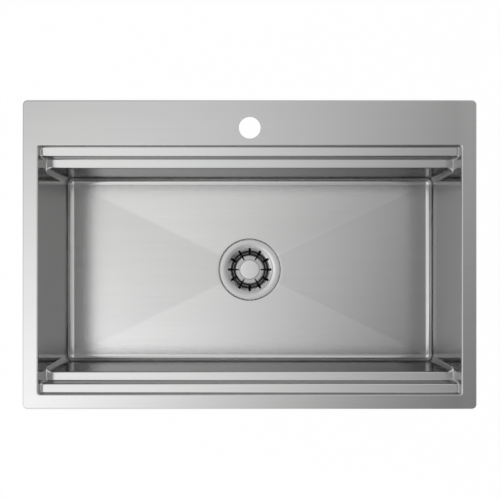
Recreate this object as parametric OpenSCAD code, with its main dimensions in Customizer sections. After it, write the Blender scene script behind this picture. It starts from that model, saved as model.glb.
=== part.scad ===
// Drop-in kitchen sink with a single bowl, a tap deck and two ledges front and rear.
// All lengths are in millimetres. X runs left to right, +Y to the tap deck, +Z up.
// The origin is on the axis of the bowl and its waste, at the top of the worktop.

/* [Rim and tap deck] */
// Overall width, left to right
sink_w = 735; // [680:1:800]
// Overall depth, front to rear
sink_d = 500; // [470:1:540]
// Height of the rim's top face above the worktop
rim_h = 3; // [2.6:0.1:5]
// Width of the rim in front of the bowl
front_rim = 24; // [24:0.5:34]
// Width of the rim at each side of the bowl
side_rim = 25; // [24:0.5:40]
// Width of the tap deck behind the bowl
tap_deck = 74; // [70:1:110]
// Radius of the rim's corners in plan
rim_corner_r = 8; // [7:0.5:20]
// Radius of the bowl opening's corners in plan
opening_corner_r = 3; // [2:0.5:6]
// Thickness of the steel sheet
sheet_t = 1.2; // [0.8:0.1:1.3]
// Inside radius of every fold in the sheet
fold_r = 1.3; // [0.9:0.1:1.6]
// How far the sheet round the opening is folded down below the worktop
skirt_depth = 2; // [1.5:0.5:6]

/* [Tap hole] */
// Diameter of the tap hole
tap_hole_d = 35; // [32:0.5:38]
// Distance from the rim's rear edge to the tap hole's centre
tap_hole_inset = 45; // [40:1:50]
// Width of the stiffening plate under the tap hole
tap_plate_w = 92; // [70:1:140]
// Depth of the stiffening plate, front to rear
tap_plate_d = 48; // [44:1:50]
// Thickness of the stiffening plate
tap_plate_t = 2; // [1.5:0.5:3]
// Radial room round the tap in the stiffening plate
tap_plate_room = 0.75; // [0.5:0.25:1.5]
// Corner radius of the stiffening plate
tap_plate_r = 6; // [2:1:12]

/* [Ledges] */
// Depth of the upper ledge below the rim's top
upper_ledge_drop = 17; // [12:1:24]
// Depth of the lower ledge below the rim's top
lower_ledge_drop = 53; // [40:1:70]
// Width of the upper ledge
upper_ledge_w = 15; // [10:0.5:20]
// Width of the lower ledge
lower_ledge_w = 15; // [13:0.5:20]

/* [Bowl and floor] */
// Depth from the rim's top to the edge of the floor
bowl_depth = 225; // [180:1:250]
// Radius of the bowl's upright corners and of the floor's rolled edge
bowl_corner_r = 10; // [9:0.5:12]
// How far the floor falls from its edge to the bowl's axis
floor_fall = 7; // [5:0.5:12]
// Diameter of the pressed recess for the waste
recess_d = 117; // [116:0.5:122]
// Depth of the recess below the floor's lowest point
recess_depth = 2; // [1.5:0.25:4]
// Diameter of the waste hole in the floor
waste_hole_d = 90; // [89.5:0.1:91]

/* [Worktop fixing] */
// Width of the foam seal under the rim
seal_w = 9; // [6:0.5:10]
// Gap between the round of the rim's folded edge and the foam seal
seal_gap = 0.2; // [0.1:0.1:1]
// Thickness of the worktop that the clips grip
worktop_t = 30; // [20:1:40]
// Distance from the rim's edge to each clip stud
stud_inset = 17; // [16.5:0.25:17.5]
// Diameter of the clip studs
stud_d = 5; // [4:0.5:5]
// Length of the clip studs
stud_length = 48; // [46:1:60]
// Distance of the front and rear clips from the bowl's middle
clip_x = 230; // [120:5:280]
// Distance of the side clips from the bowl's middle
clip_y = 95; // [50:5:140]
// Width of a clip claw
claw_w = 16; // [12:1:24]
// Thickness of a clip claw
claw_t = 1.5; // [1:0.1:1.6]
// Gap between the claw's heel and the sheet folded down round the opening
claw_heel_gap = 0.7; // [0.6:0.1:1.2]
// Height that the claw's toe stands up
toe_h = 6; // [4:0.5:8]
// Distance from the rim's edge to the outer face of the claw's toe
toe_inset = 6; // [4:0.5:8]
// Height of a clip nut
nut_h = 4; // [3:0.5:5]
// Width across the corners of a clip nut
nut_corners = 9.2; // [8:0.1:10]
// Diameter of a clip washer
washer_d = 12; // [10:0.5:14]
// Thickness of a clip washer
washer_t = 1; // [0.8:0.1:1.6]

/* [Sound pads] */
// Thickness of the pads
pad_t = 3; // [2:0.5:5]
// Height of the wall pads
pad_h = 105; // [60:5:120]
// Distance from the worktop's level down to the middle of the wall pads
pad_middle = 130; // [120:5:135]
// Length of the front and rear pads
long_pad = 430; // [200:10:600]
// Length of the left and right pads
short_pad = 210; // [100:10:280]
// Corner radius of the pads
pad_corner_r = 14; // [5:1:25]
// Width of the floor pad
floor_pad_w = 560; // [300:10:620]
// Depth of the floor pad
floor_pad_d = 280; // [180:10:300]
// Diameter of the opening in the floor pad round the waste
floor_pad_hole_d = 146; // [130:2:160]

/* [Waste] */
// Diameter of the waste's flange
flange_d = 114; // [112:0.5:115]
// Thickness of the waste's flange
flange_t = 1.5; // [1.2:0.1:2]
// Thickness of the gasket under the flange
gasket_t = 1; // [0.5:0.1:2]
// Outside diameter of the waste's cup
cup_d = 84; // [82:0.1:86]
// Thickness of the cup's wall
cup_wall = 1.3; // [1.1:0.1:1.5]
// Depth from the flange's top to the edge of the cup's bottom
cup_depth = 44; // [40:1:60]
// How far the cup's bottom slopes down to the outlet
cup_slope_h = 8; // [6:0.5:12]
// Outside diameter of the outlet
outlet_d = 47.8; // [44:0.1:50]
// Thickness of the outlet's wall
outlet_wall = 3.4; // [2.5:0.1:4]
// Length of the outlet below the cup
outlet_length = 24; // [18:1:40]
// Thickness of the rubber washer under the floor
rubber_t = 3; // [2:0.5:4]
// Outside diameter of the washers under the floor
under_washer_d = 112; // [106:1:114]
// Thickness of the slip ring
slip_ring_t = 1; // [0.6:0.1:1.5]
// Height of the lock nut
lock_nut_h = 12; // [9:1:16]
// Outside diameter of the lock nut's body
lock_nut_d = 100; // [98:1:102]
// Number of lugs on the lock nut
lock_nut_lugs = 8; // [6:1:12]
// Radial room between the cup and the rings round it
ring_room = 0.05; // [0.03:0.01:0.08]

/* [Strainer basket] */
// Thickness of the strainer's steel
basket_t = 0.8; // [0.6:0.05:1]
// Depth of the strainer's trough below the flange's top
trough_depth = 14; // [11:0.5:18]
// Radius of the middle of the trough
trough_r = 31.5; // [31:0.25:32.5]
// Depth of the flat middle below the flange's top
middle_depth = 6; // [5.5:0.25:7.5]
// Room between the strainer and the waste's throat
basket_room = 0.3; // [0.25:0.05:0.5]
// Number of slots, long and short in turn
slot_count = 12; // [6:2:16]
// Width of the slots
slot_w = 3.8; // [2.5:0.1:4.2]
// Width of the long slots at their inner end
slot_tip_w = 1.8; // [1.2:0.1:2.4]
// Inner radius of the long slots
long_slot_r = 20.5; // [20:0.5:24]
// Inner radius of the short slots
short_slot_r = 28.8; // [27:0.1:32]
// Outer radius of all slots
slot_end_r = 41.6; // [40:0.1:41.8]

/* [Stopper] */
// Diameter of the cap
cap_d = 37.6; // [34:0.2:38]
// Thickness of the cap
cap_t = 1.4; // [1.2:0.1:1.8]
// How far the cap's top rises from its edge to its middle
cap_crown = 0.3; // [0.1:0.1:1]
// Height of the rim turned down round the cap
cap_skirt = 1; // [0.6:0.1:1.1]
// Diameter of the stem
stem_d = 6; // [5:0.5:7]
// Radial room round the stem in its guide
stem_room = 0.05; // [0.03:0.01:0.08]
// Length of the guide under the strainer
guide_h = 7; // [6:0.5:9]
// Diameter of the guide
guide_d = 13; // [12:0.5:15]
// Height of the guide's flange above the strainer
guide_flange_h = 1; // [0.8:0.1:1.2]
// How far the stopper lifts
stopper_lift = 8; // [5:0.5:12]
// Diameter of the stopper
stopper_d = 58; // [52:1:64]
// Thickness of the stopper's hub
stopper_h = 4; // [3:0.5:5]
// Diameter of the disc on top of the stopper
seal_disc_d = 26; // [20:1:32]
// Thickness of the disc on top of the stopper
seal_disc_t = 1; // [0.8:0.1:1.5]
// Diameter of the screw that holds the stopper
seal_screw_d = 4; // [3:0.5:4]

/* [Hidden] */
$fn = 72;

// Overlap that lets a cut run past the face it starts on
cut = 1;
// Gap that is left between a soft piece and the face it closes against
soft_gap = 0.3;

// Bowl and opening, as half sizes from the bowl's axis
open_x = sink_w / 2 - side_rim;
open_y = (sink_d - front_rim - tap_deck) / 2;
tier_y = open_y - upper_ledge_w;
bowl_y = tier_y - lower_ledge_w;
rim_shift = (tap_deck - front_rim) / 2;
rim_x = sink_w / 2;
rim_y = sink_d / 2;

// Outside radius of a fold, and the strip of flat sheet that is drawn with it on the deck
fold_out = fold_r + sheet_t;
fold_strip = 1.5;

// Levels
deck_under = rim_h - sheet_t;
skirt_end = -skirt_depth;
upper_z = rim_h - upper_ledge_drop;
lower_z = rim_h - lower_ledge_drop;
floor_z = rim_h - bowl_depth;
wall_end = floor_z + bowl_corner_r;
apex_z = floor_z - floor_fall;
seat_z = apex_z - recess_depth;
flange_z = seat_z + gasket_t + flange_t;

// Corner centres of the bowl and of the opening
corner_x = open_x - bowl_corner_r;
corner_y = bowl_y - bowl_corner_r;
open_corner_x = open_x - opening_corner_r;
open_corner_y = open_y - opening_corner_r;
tier_corner_y = tier_y - opening_corner_r;

// Clips
claw_bottom = -worktop_t - toe_h;
claw_heel_inset = front_rim - sheet_t - claw_heel_gap;
claw_bore_d = stud_d + 0.6;
washer_bore_d = stud_d + 0.3;
stud_foot_r = stud_d / 2 + 0.6;
stud_foot_h = 0.8;

// Waste
waste_hole_r = waste_hole_d / 2;
recess_r = recess_d / 2;
flange_r = flange_d / 2;
cup_r = cup_d / 2;
cup_in_r = cup_r - cup_wall;
outlet_r = outlet_d / 2;
outlet_in_r = outlet_r - outlet_wall;
cup_edge_z = flange_z - cup_depth;
outlet_z = cup_edge_z - cup_slope_h;
outlet_end = outlet_z - outlet_length;
floor_under = seat_z - sheet_t;
ring_in_r = cup_r + ring_room;
gasket_in_r = waste_hole_r + 1;
gasket_out_r = flange_r - 0.5;
flange_under = flange_z - flange_t;
flange_round = 0.7;
flange_chamfer = 0.4;
cup_fillet = 0.6;
neck_r = waste_hole_r - 0.2;
rubber_end = floor_under - rubber_t;
lock_nut_top = rubber_end - slip_ring_t;
lug_r = under_washer_d / 2;
lug_w = 9;
lug_root = 1.5;
lug_step = 2;

// Inner face of the waste's throat as [radius, height], dished from the flange's flat down into the cup
throat = [
    [cup_in_r + 10.3, flange_z],
    [cup_in_r + 8.8, flange_z - 0.08],
    [cup_in_r + 7.3, flange_z - 0.25],
    [cup_in_r + 5.8, flange_z - 0.52],
    [cup_in_r + 4.3, flange_z - 0.88],
    [cup_in_r + 2.9, flange_z - 1.35],
    [cup_in_r + 1.5, flange_z - 2.05],
    [cup_in_r + 0.5, flange_z - 3],
    [cup_in_r, flange_z - 4.4]
];

// Strainer
middle_z = flange_z - middle_depth;
guide_r = guide_d / 2;
guide_neck_r = guide_r - 1.5;
guide_flange_r = guide_r + 1;
guide_top = middle_z + guide_flange_h;
guide_end = middle_z - basket_t - guide_h;

// Trough of the strainer as [offset from its middle, share of its depth below the flat middle]
trough_line = [
    [6.9, -0.4], [5.3, -0.24], [4.1, 0.03], [3.3, 0.35], [2.5, 0.69], [1.5, 0.93], [0, 1],
    [-1.5, 0.93], [-2.5, 0.69], [-3.3, 0.4], [-4.3, 0.18], [-5.9, 0.04], [-8.1, 0]
];

// Lower face of the strainer as [radius, height]: rim on the throat, trough and flat middle
basket_line = concat(
    [
        [cup_in_r + 2.7, flange_z - 1.4 + basket_room],
        [cup_in_r + 1.3, flange_z - 2 + basket_room],
        [cup_in_r - 0.3, flange_z - 2.85 + basket_room]
    ],
    [
        for (p = trough_line)
            [trough_r + p[0], middle_z - basket_t - p[1] * (trough_depth - middle_depth)]
    ],
    [[guide_neck_r + 0.1, middle_z - basket_t]]
);

// Stopper
cap_edge_r = cap_d / 2;
cap_under = guide_top + soft_gap;
cap_hollow_r = cap_edge_r - 1;
cap_round = 0.35;
stem_r = stem_d / 2;
stem_bore_h = 9;
detent_r = stem_r + 1.4;
detent_h = 2;
detent_z = guide_end + (guide_h - detent_h) / 2;
groove = 0.25;
groove_h = 1;
stopper_r = stopper_d / 2;
seal_hub_r = seal_disc_d / 2 + 1;
seal_lip_h = 0.9;
seat_slope = cup_slope_h / (cup_in_r - outlet_in_r);
seal_foot_r = outlet_in_r + 3;
seal_foot_z = seat_height(seal_foot_r) + soft_gap;
seal_top_z = seal_foot_z + stopper_h;
stem_end = seal_top_z + seal_disc_t;
screw_r = seal_screw_d / 2;
screw_bore_r = screw_r + 0.1;
screw_head_h = 2.4;
screw_thread_h = 7;

// Height of the cup's sloping bottom at a radius
function seat_height(r) = cup_edge_z - (cup_in_r - r) * seat_slope;

// Left normal of the step from a to b
function left_of(a, b) = let (d = (b - a) / norm(b - a)) [-d.y, d.x];

// Line of points moved sideways by t, with each corner kept on its bisector
function beside(p, t) = [
    for (i = [0 : len(p) - 1])
        let (
            a = left_of(p[max(i - 1, 0)], p[max(i, 1)]),
            b = left_of(p[min(i, len(p) - 2)], p[min(i + 1, len(p) - 1)]),
            m = (a + b) / (1 + a * b)
        )
        p[i] + m * t
];

// Closed outline of a skin of thickness t on the left of a line of points
function skin(p, t) = concat(p, let (q = beside(p, t)) [for (i = [len(q) - 1 : -1 : 0]) q[i]]);

// Rectangle with round corners, given by its half sizes
module round_rect(hx, hy, r) {
    square([2 * (hx - r), 2 * hy], center = true);
    square([2 * hx, 2 * (hy - r)], center = true);
    for (x = [-1, 1], y = [-1, 1]) {
        translate([x * (hx - r), y * (hy - r)]) circle(r);
    }
}

// Section of a sheet folded at right angles, with the sheet on the left of the path
module folded_section(path, t, r) {
    last = len(path) - 1;
    turn = [
        for (k = [0 : last])
            k == 0 || k == last ? 0
            : let (a = path[k] - path[k - 1], b = path[k + 1] - path[k]) a.x * b.y - a.y * b.x
    ];
    setback = [for (k = [0 : last]) turn[k] == 0 ? 0 : turn[k] > 0 ? r + t : r];
    for (k = [0 : last - 1]) {
        step = path[k + 1] - path[k];
        d = step / norm(step);
        n = left_of(path[k], path[k + 1]);
        a = path[k] + d * setback[k];
        b = path[k + 1] - d * setback[k + 1];
        polygon([a, b, b + n * t, a + n * t]);
        if (k + 1 < last) {
            side = turn[k + 1] > 0 ? 1 : -1;
            centre = path[k + 1] - d * setback[k + 1] + n * side * setback[k + 1];
            outer = r + t;
            intersection() {
                translate(centre) difference() {
                    circle(outer);
                    circle(r);
                }
                polygon([
                    centre,
                    centre - n * side * outer,
                    centre - n * side * outer + d * outer,
                    centre + d * outer
                ]);
            }
        }
    }
}

// Section in (distance, height) run along X, with its distance along +Y
module run_along_x(length) {
    translate([-length / 2, 0, 0]) rotate([90, 0, 90]) linear_extrude(length) children();
}

// Section carried round a rectangle with round corners at +-cx, +-cy
module swept_round(cx, cy) {
    for (a = [0, 180]) {
        rotate(a) {
            translate([0, cy, 0]) run_along_x(2 * cx) children();
            translate([cx, cy, 0]) rotate_extrude(angle = 90) children();
            translate([-cx, cy, 0]) rotate([0, 0, 90]) rotate_extrude(angle = 90) children();
            rotate(90) translate([0, cx, 0]) run_along_x(2 * cy) children();
        }
    }
}

module deck_plate() {
    strip = fold_out + fold_strip;
    color("silver") {
        translate([0, 0, deck_under]) linear_extrude(sheet_t) difference() {
            translate([0, rim_shift]) round_rect(rim_x - strip, rim_y - strip, rim_corner_r - strip);
            round_rect(open_x + strip, open_y + strip, opening_corner_r + strip);
            translate([0, rim_shift + rim_y - tap_hole_inset]) circle(tap_hole_d / 2);
        }
        translate([0, rim_shift, 0]) swept_round(rim_x - rim_corner_r, rim_y - rim_corner_r)
            folded_section(
                [[rim_corner_r, 0], [rim_corner_r, rim_h], [rim_corner_r - strip, rim_h]],
                sheet_t, fold_r
            );
        swept_round(open_corner_x, open_corner_y)
            folded_section(
                [
                    [opening_corner_r + strip, rim_h],
                    [opening_corner_r, rim_h],
                    [opening_corner_r, skirt_end]
                ],
                sheet_t, fold_r
            );
    }
}

// Upright quarter round of sheet, centred on a corner's axis
module corner_post(r, low, high) {
    translate([0, 0, low]) linear_extrude(high - low) intersection() {
        difference() {
            circle(r + sheet_t);
            circle(r);
        }
        square(r + sheet_t);
    }
}

// Flat end of a ledge that reaches into the bowl's corner behind a round of radius r
module ledge_end(from_x, centre, r, back_y, top) {
    translate([0, 0, top - sheet_t]) linear_extrude(sheet_t) difference() {
        translate([from_x, centre.y]) square([open_x + sheet_t - from_x, back_y - centre.y]);
        translate(centre) circle(r);
    }
}

// Rear panel of the bowl: wall, lower ledge, rise, upper ledge and rise, in one folded sheet
module ledged_wall() {
    rises = [[open_y, skirt_end], [open_y, upper_z], [tier_y, upper_z], [tier_y, lower_z]];
    run_along_x(2 * corner_x)
        folded_section(concat(rises, [[bowl_y, lower_z], [bowl_y, wall_end]]), sheet_t, fold_r);
    for (side = [0, 1]) {
        mirror([side, 0, 0]) {
            difference() {
                translate([(corner_x + open_corner_x) / 2, 0, 0])
                    run_along_x(open_corner_x - corner_x)
                    folded_section(concat(rises, [[corner_y, lower_z]]), sheet_t, fold_r);
                translate([corner_x, corner_y, lower_z - sheet_t - cut])
                    cylinder(r = bowl_corner_r, h = sheet_t + 2 * cut);
            }
            translate([open_corner_x, open_corner_y, 0])
                corner_post(opening_corner_r, upper_z, skirt_end);
            ledge_end(
                open_corner_x, [open_corner_x, tier_corner_y], opening_corner_r,
                open_y + sheet_t, upper_z
            );
            translate([open_corner_x, tier_corner_y, 0])
                corner_post(opening_corner_r, lower_z, upper_z - sheet_t);
            ledge_end(
                open_corner_x, [corner_x, corner_y], bowl_corner_r,
                tier_y + sheet_t, lower_z
            );
            translate([corner_x, corner_y, 0])
                corner_post(bowl_corner_r, wall_end, lower_z - sheet_t);
        }
    }
}

module front_wall() {
    color("gainsboro") rotate(180) ledged_wall();
}

module rear_wall() {
    color("gainsboro") ledged_wall();
}

// Right panel of the bowl, stepped at each ledge
module side_panel() {
    half = [
        [open_corner_y, skirt_end], [open_corner_y, upper_z],
        [tier_corner_y, upper_z], [tier_corner_y, lower_z],
        [corner_y, lower_z], [corner_y, wall_end]
    ];
    other = [for (i = [len(half) - 1 : -1 : 0]) [-half[i].x, half[i].y]];
    translate([open_x + sheet_t / 2, 0, 0]) run_along_x(sheet_t) polygon(concat(half, other));
}

module left_wall() {
    color("lightgray") rotate(180) side_panel();
}

module right_wall() {
    color("lightgray") side_panel();
}

// Space above the floor's facets, let down by a depth
module above_floor(depth) {
    top = wall_end;
    module valley(half, length) {
        rotate([90, 0, 0]) translate([0, 0, -length]) linear_extrude(2 * length)
            polygon([
                [-half, floor_z - depth], [0, apex_z - depth],
                [half, floor_z - depth], [half, top], [-half, top]
            ]);
    }
    intersection() {
        valley(corner_x, corner_y);
        rotate(90) valley(corner_y, corner_x);
    }
}

module floor_pan() {
    color("whitesmoke") {
        swept_round(corner_x, corner_y) intersection() {
            translate([0, wall_end]) difference() {
                circle(bowl_corner_r + sheet_t);
                circle(bowl_corner_r);
            }
            translate([0, wall_end - 2 * bowl_corner_r]) square(2 * bowl_corner_r);
        }
        difference() {
            union() {
                above_floor(sheet_t);
                translate([0, 0, floor_under])
                    cylinder(r = recess_r + sheet_t, h = floor_z - seat_z);
            }
            above_floor(0);
            translate([0, 0, seat_z]) cylinder(r = recess_r, h = bowl_corner_r + floor_z - seat_z);
            translate([0, 0, floor_under - cut]) cylinder(d = waste_hole_d, h = sheet_t + 2 * cut);
        }
    }
}

module tap_hole_plate() {
    color("slategray") translate([0, rim_shift + rim_y - tap_hole_inset, deck_under - tap_plate_t])
        linear_extrude(tap_plate_t) difference() {
            round_rect(tap_plate_w / 2, tap_plate_d / 2, tap_plate_r);
            circle(tap_hole_d / 2 + tap_plate_room);
        }
}

module rim_seal() {
    inset = fold_out + seal_gap;
    color("dimgray") translate([0, rim_shift, 0]) linear_extrude(deck_under) difference() {
        round_rect(rim_x - inset, rim_y - inset, rim_corner_r - inset);
        round_rect(rim_x - inset - seal_w, rim_y - inset - seal_w, rim_corner_r - inset);
    }
}

// Places a clip at each of its eight stations, with its inset from the rim's edge along +Y
module at_clips() {
    for (x = [-clip_x, clip_x]) {
        translate([x, rim_shift - rim_y, 0]) children();
        translate([x, rim_shift + rim_y, 0]) rotate(180) children();
    }
    for (y = [-clip_y, clip_y]) {
        translate([rim_x, y, 0]) rotate(90) children();
        translate([-rim_x, y, 0]) rotate(-90) children();
    }
}

module clip_studs() {
    color("darkgray") at_clips() translate([0, stud_inset, 0]) {
        translate([0, 0, deck_under - stud_length]) cylinder(d = stud_d, h = stud_length);
        translate([0, 0, deck_under - stud_foot_h]) cylinder(r = stud_foot_r, h = stud_foot_h);
    }
}

module clip_claws() {
    color("lightsteelblue") at_clips() difference() {
        run_along_x(claw_w) folded_section(
            [
                [claw_heel_inset - claw_t, deck_under - soft_gap],
                [claw_heel_inset - claw_t, claw_bottom + claw_t],
                [toe_inset + claw_t, claw_bottom + claw_t],
                [toe_inset + claw_t, -worktop_t]
            ],
            claw_t, claw_t / 2
        );
        translate([0, stud_inset, claw_bottom - cut]) cylinder(d = claw_bore_d, h = claw_t + 2 * cut);
    }
}

module clip_washers() {
    color("gray") at_clips() translate([0, stud_inset, claw_bottom - washer_t]) difference() {
        cylinder(d = washer_d, h = washer_t);
        translate([0, 0, -cut]) cylinder(d = washer_bore_d, h = washer_t + 2 * cut);
    }
}

module clip_nuts() {
    color("gold") at_clips() translate([0, stud_inset, claw_bottom - washer_t - nut_h])
        difference() {
            cylinder(d = nut_corners, h = nut_h, $fn = 6);
            translate([0, 0, -cut]) cylinder(r = stud_d / 2 + ring_room, h = nut_h + 2 * cut);
        }
}

// Flat pad that stands against a wall whose outer face is at a distance along +Y
module wall_pad(length, distance) {
    translate([0, distance + pad_t, -pad_middle]) rotate([90, 0, 0]) linear_extrude(pad_t)
        round_rect(length / 2, pad_h / 2, pad_corner_r);
}

module floor_pad() {
    color("darkslategray") intersection() {
        difference() {
            above_floor(sheet_t + pad_t);
            above_floor(sheet_t);
        }
        translate([0, 0, apex_z - 2 * pad_t]) linear_extrude(floor_fall + 2 * pad_t) difference() {
            round_rect(floor_pad_w / 2, floor_pad_d / 2, pad_corner_r);
            circle(d = floor_pad_hole_d);
        }
    }
}

module front_pad() {
    color("darkslategray") rotate(180) wall_pad(long_pad, bowl_y + sheet_t);
}

module rear_pad() {
    color("darkslategray") wall_pad(long_pad, bowl_y + sheet_t);
}

module left_pad() {
    color("darkslategray") rotate(90) wall_pad(short_pad, open_x + sheet_t);
}

module right_pad() {
    color("darkslategray") rotate(-90) wall_pad(short_pad, open_x + sheet_t);
}

// Flat ring that stands on a level
module flat_ring(r_in, r_out, low, h) {
    translate([0, 0, low]) difference() {
        cylinder(r = r_out, h = h);
        translate([0, 0, -cut]) cylinder(r = r_in, h = h + 2 * cut);
    }
}

module flange_gasket() {
    color("black") flat_ring(gasket_in_r, gasket_out_r, seat_z, gasket_t);
}

module waste_body() {
    cone_t = cup_wall / sqrt(1 + seat_slope * seat_slope);
    color("silver") rotate_extrude() polygon(concat(
        throat,
        [
            [cup_in_r, cup_edge_z],
            [outlet_in_r, outlet_z],
            [outlet_in_r, outlet_end],
            [outlet_r, outlet_end],
            [outlet_r, seat_height(outlet_r) - cup_wall - cone_t],
            [cup_r, seat_height(cup_r) - cup_wall],
            [cup_r, floor_under + ring_room],
            [cup_r + cup_fillet, seat_z],
            [neck_r, flange_under],
            [flange_r - flange_chamfer, flange_under],
            [flange_r, flange_under + flange_chamfer],
            [flange_r, flange_z - flange_round],
            [flange_r - flange_round, flange_z]
        ]
    ));
}

module rubber_washer() {
    color("black") flat_ring(ring_in_r, lug_r, rubber_end, rubber_t);
}

module friction_ring() {
    color("tan") flat_ring(ring_in_r, lug_r, lock_nut_top, slip_ring_t);
}

module lock_nut() {
    low = lock_nut_top - lock_nut_h;
    root_r = lock_nut_d / 2 - lug_root;
    color("dimgray") {
        flat_ring(ring_in_r, lock_nut_d / 2, low, lock_nut_h);
        for (k = [0 : lock_nut_lugs - 1]) {
            rotate(k * 360 / lock_nut_lugs) translate([root_r, -lug_w / 2, low])
                cube([lug_r - root_r, lug_w, lock_nut_h - lug_step]);
        }
    }
}

// Slot along +X with round ends, w1 wide at radius r1 and w2 wide at radius r2
module slot(r1, w1, r2, w2) {
    from = r1 + w1 / 2;
    to = r2 - w2 / 2;
    translate([from, 0]) circle(d = w1);
    translate([to, 0]) circle(d = w2);
    polygon([[from, -w1 / 2], [to, -w2 / 2], [to, w2 / 2], [from, w1 / 2]]);
}

module basket_dish() {
    low = flange_z - trough_depth - 2 * basket_t;
    color("silver") difference() {
        rotate_extrude() polygon(skin(basket_line, -basket_t));
        for (k = [0 : slot_count - 1]) {
            rotate(k * 360 / slot_count) translate([0, 0, low])
                linear_extrude(trough_depth + 2 * basket_t)
                if (k % 2 == 0) {
                    slot(long_slot_r, slot_tip_w, slot_end_r, slot_w);
                } else {
                    slot(short_slot_r, slot_w, slot_end_r, slot_w);
                }
        }
    }
}

module stem_guide() {
    color("ivory") difference() {
        union() {
            translate([0, 0, middle_z]) cylinder(r = guide_flange_r, h = guide_flange_h);
            translate([0, 0, middle_z - basket_t]) cylinder(r = guide_neck_r, h = basket_t);
            translate([0, 0, guide_end]) cylinder(r = guide_r, h = guide_h);
        }
        translate([0, 0, guide_end - cut])
            cylinder(r = stem_r + stem_room, h = guide_top - guide_end + 2 * cut);
        translate([0, 0, detent_z]) cylinder(r = detent_r, h = detent_h);
    }
}

module detent_ring() {
    color("orangered") flat_ring(stem_r + stem_room, detent_r, detent_z, detent_h);
}

module stopper_cap() {
    top = cap_under + cap_t;
    color("gainsboro") rotate_extrude() polygon(concat(
        [
            [0, cap_under],
            [cap_hollow_r, cap_under],
            [cap_hollow_r, cap_under - cap_skirt],
            [cap_edge_r - cap_round, cap_under - cap_skirt],
            [cap_edge_r, cap_under - cap_skirt + cap_round],
            [cap_edge_r, top - 2 * cap_round],
            [cap_edge_r - cap_round, top - cap_round / 2],
            [cap_edge_r - 2 * cap_round, top]
        ],
        [for (share = [0.7, 0.35, 0]) [cap_edge_r * share, top + cap_crown * (1 - share * share)]]
    ));
}

module stopper_stem() {
    middle = detent_z + (detent_h - groove_h) / 2;
    color("silver") difference() {
        translate([0, 0, stem_end]) cylinder(r = stem_r, h = cap_under - stem_end);
        for (z = [middle, middle - stopper_lift]) {
            flat_ring(stem_r - groove, stem_r + cut, z, groove_h);
        }
        translate([0, 0, stem_end - cut])
            cylinder(r = screw_r + ring_room, h = stem_bore_h + cut);
    }
}

module seal_disc() {
    color("silver") flat_ring(screw_bore_r, seal_disc_d / 2, seal_top_z, seal_disc_t);
}

module stopper_seal() {
    lip_z = seat_height(stopper_r) + soft_gap;
    color("black") rotate_extrude() polygon([
        [screw_bore_r, seal_foot_z],
        [seal_foot_r, seal_foot_z],
        [stopper_r, lip_z],
        [stopper_r, lip_z + seal_lip_h],
        [seal_hub_r + 3, seal_top_z - 1.2],
        [seal_hub_r, seal_top_z],
        [screw_bore_r, seal_top_z]
    ]);
}

module seal_screw() {
    color("silver") {
        translate([0, 0, seal_foot_z - screw_head_h]) cylinder(d = 2 * seal_screw_d, h = screw_head_h);
        translate([0, 0, seal_foot_z])
            cylinder(r = screw_r, h = stem_end - seal_foot_z + screw_thread_h);
    }
}

deck_plate();
front_wall();
rear_wall();
left_wall();
right_wall();
floor_pan();
tap_hole_plate();
rim_seal();
clip_studs();
clip_claws();
clip_washers();
clip_nuts();
floor_pad();
front_pad();
rear_pad();
left_pad();
right_pad();
flange_gasket();
waste_body();
rubber_washer();
friction_ring();
lock_nut();
basket_dish();
stem_guide();
detent_ring();
stopper_cap();
stopper_stem();
seal_disc();
stopper_seal();
seal_screw();
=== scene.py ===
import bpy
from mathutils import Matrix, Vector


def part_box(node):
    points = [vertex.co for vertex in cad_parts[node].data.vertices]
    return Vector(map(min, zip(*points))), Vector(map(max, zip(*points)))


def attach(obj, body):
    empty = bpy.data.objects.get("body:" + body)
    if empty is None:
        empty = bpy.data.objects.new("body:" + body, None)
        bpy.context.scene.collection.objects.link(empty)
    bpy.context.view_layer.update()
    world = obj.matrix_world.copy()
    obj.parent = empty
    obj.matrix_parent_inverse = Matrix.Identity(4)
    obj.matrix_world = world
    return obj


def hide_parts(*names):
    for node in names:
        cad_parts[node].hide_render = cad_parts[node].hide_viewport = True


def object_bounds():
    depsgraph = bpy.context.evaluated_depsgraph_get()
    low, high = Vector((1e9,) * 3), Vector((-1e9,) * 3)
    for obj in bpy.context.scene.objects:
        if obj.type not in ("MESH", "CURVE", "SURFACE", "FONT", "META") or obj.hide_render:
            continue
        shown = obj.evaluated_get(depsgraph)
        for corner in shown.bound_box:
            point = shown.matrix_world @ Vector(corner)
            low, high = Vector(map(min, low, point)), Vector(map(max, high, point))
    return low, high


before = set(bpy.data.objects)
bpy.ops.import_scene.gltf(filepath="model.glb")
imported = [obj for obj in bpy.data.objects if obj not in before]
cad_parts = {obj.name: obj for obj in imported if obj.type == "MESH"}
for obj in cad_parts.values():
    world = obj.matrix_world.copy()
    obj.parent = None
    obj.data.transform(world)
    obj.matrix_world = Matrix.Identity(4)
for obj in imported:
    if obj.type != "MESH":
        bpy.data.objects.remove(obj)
cad_box = [list(corner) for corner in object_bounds()]

import bpy
import numpy as np

# Rim and tap deck. One stainless sheet, brushed from left to right, with a hole punched for the tap. It
# is folded down round its outer edge and round the bowl's opening, lies on the worktop and carries the
# bowl.
deck_low, deck_high = (np.array(corner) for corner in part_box("deck_plate"))
panel_low, panel_high = (np.array(corner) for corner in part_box("right_wall"))
sheet_t = panel_high[0] - panel_low[0]
bend_r = 0.0013
open_x = panel_low[0]
open_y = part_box("rear_wall")[1].y - sheet_t
opening_r = 0.003
rim_x, rim_y = (deck_high - deck_low)[:2] / 2
rim_middle = (deck_high + deck_low)[1] / 2
rim_r = 0.008
tap_y = (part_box("tap_hole_plate")[0].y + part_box("tap_hole_plate")[1].y) / 2
tap_r = 0.0175
tap_edge_r = 0.0003
patch_cells = 16
patch_half = 0.024

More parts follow.
